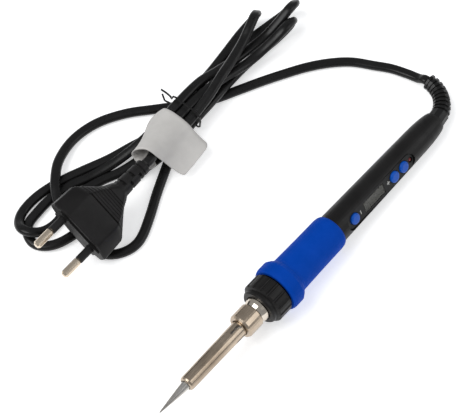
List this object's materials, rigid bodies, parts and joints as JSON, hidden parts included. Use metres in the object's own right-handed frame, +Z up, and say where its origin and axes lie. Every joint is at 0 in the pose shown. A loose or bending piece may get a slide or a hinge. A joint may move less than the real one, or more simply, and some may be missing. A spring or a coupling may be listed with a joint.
{
  "type": "soldering iron",
  "caption": "Slim adjustable soldering iron with a silicone grip, a button and display panel on the handle, and a folded mains lead ending in a flat plug.",
  "frame": {"origin": "centre of the plan box of the iron and its strain relief, on the surface it lies on", "axes": "+X runs from the tip to the tail of the iron, +Z is up from the surface, and +Y is towards the folded lead"},
  "size_m": [0.2209, 0.1415, 0.0293],
  "materials": {
    "tip_plating": "bright plating, slightly dulled",
    "barrel_steel": "warm nickel plate on drawn steel",
    "heater_ceramic": "fired white ceramic and glass sleeving",
    "black_plastic": "moulded, satin",
    "blue_silicone": "soft moulded silicone, matt",
    "button_blue": "smooth moulded",
    "panel_grey": "printed film",
    "clear_window": "clear moulded window",
    "display_glass": "unlit liquid crystal glass",
    "lamp_red": "tinted lamp lens",
    "white_plastic": "diffuser",
    "board_green": "solder mask on glass laminate",
    "chip_black": "moulded epoxy",
    "capacitor_yellow": "dipped case",
    "capacitor_dark": "shrink sleeve",
    "fuse_glass": "glass tube with caps",
    "screw_steel": "zinc plated",
    "core_brown": "wire insulation",
    "core_blue": "wire insulation",
    "flexible_plastic": "soft vinyl, slight sheen",
    "pin_nickel": "nickel plated brass",
    "label_paper": "blank coated paper"
  },
  "bodies": {
    "handle": {"back_cover": "black_plastic", "board_fuse": "fuse_glass", "clamp_screw": "screw_steel", "control_panel": "panel_grey", "controller_chip": "chip_black", "cord_clamp": "black_plastic", "cord_label": "label_paper", "cover_screw": "screw_steel", "dropper_capacitor": "capacitor_yellow", "grip_sleeve": "blue_silicone", "handle_shell": "black_plastic", "heater_lead_1": "heater_ceramic", "heater_lead_2": "heater_ceramic", "heater_lead_3": "heater_ceramic", "heater_lead_4": "heater_ceramic", "lcd_backlight": "white_plastic", "lcd_glass": "display_glass", "lcd_window": "clear_window", "live_wire": "core_brown", "main_board": "board_green", "neutral_wire": "core_blue", "pin_sleeve_1": "black_plastic", "pin_sleeve_2": "black_plastic", "plug_body": "black_plastic", "plug_bridge": "black_plastic", "plug_pin_1": "pin_nickel", "plug_pin_2": "pin_nickel", "power_cord": "flexible_plastic", "power_triac": "chip_black", "smoothing_capacitor": "capacitor_dark", "status_lamp": "lamp_red", "strain_relief": "flexible_plastic", "switch_body_minus": "chip_black", "switch_body_plus": "chip_black", "switch_body_power": "chip_black", "twist_tie": "flexible_plastic"},
    "heater_unit": {"threaded_collar": "barrel_steel", "heater_core": "heater_ceramic", "heater_holder": "heater_ceramic"},
    "union_nut": {"union_nut": "black_plastic"},
    "barrel": {"barrel_tube": "barrel_steel", "soldering_tip": "tip_plating"},
    "barrel_nut": {"barrel_nut": "barrel_steel"},
    "minus_key": {"button_minus": "button_blue", "switch_plunger_minus": "chip_black"},
    "plus_key": {"button_plus": "button_blue", "switch_plunger_plus": "chip_black"},
    "power_key": {"button_power": "button_blue", "switch_plunger_power": "chip_black"}
  },
  "joints": [
    {"name": "heater_release", "type": "slide", "parent": "handle", "child": "heater_unit", "axis": [-0.9987, 0, 0.0511], "range_m": [0, 0.00375]},
    {"name": "union_nut_turn", "type": "hinge", "parent": "heater_unit", "child": "union_nut", "pos_m": [-0.03739, -0.0021, 0.01262], "axis": [-0.9987, 0, 0.0511], "range_deg": [0, 1801]},
    {"name": "barrel_release", "type": "slide", "parent": "heater_unit", "child": "barrel", "axis": [-0.9987, 0, 0.0511], "range_m": [0, 0.00375]},
    {"name": "barrel_nut_turn", "type": "hinge", "parent": "barrel", "child": "barrel_nut", "pos_m": [-0.05138, -0.0021, 0.01334], "axis": [-0.9987, 0, 0.0511], "range_deg": [0, 1801]},
    {"name": "minus_press", "type": "slide", "parent": "handle", "child": "minus_key", "axis": [-0.0256, 0.866, -0.4993], "range_m": [0, 0.0004], "stiffness_N_per_m": 4000},
    {"name": "plus_press", "type": "slide", "parent": "handle", "child": "plus_key", "axis": [-0.0256, 0.866, -0.4993], "range_m": [0, 0.0004], "stiffness_N_per_m": 4000},
    {"name": "power_press", "type": "slide", "parent": "handle", "child": "power_key", "axis": [-0.0256, 0.866, -0.4993], "range_m": [0, 0.0004], "stiffness_N_per_m": 4000}
  ],
  "couplings": [
    {"joint": "union_nut_turn", "follows": "heater_release", "rad_per_m": 8377.6},
    {"joint": "barrel_nut_turn", "follows": "barrel_release", "rad_per_m": 8377.6}
  ]
}
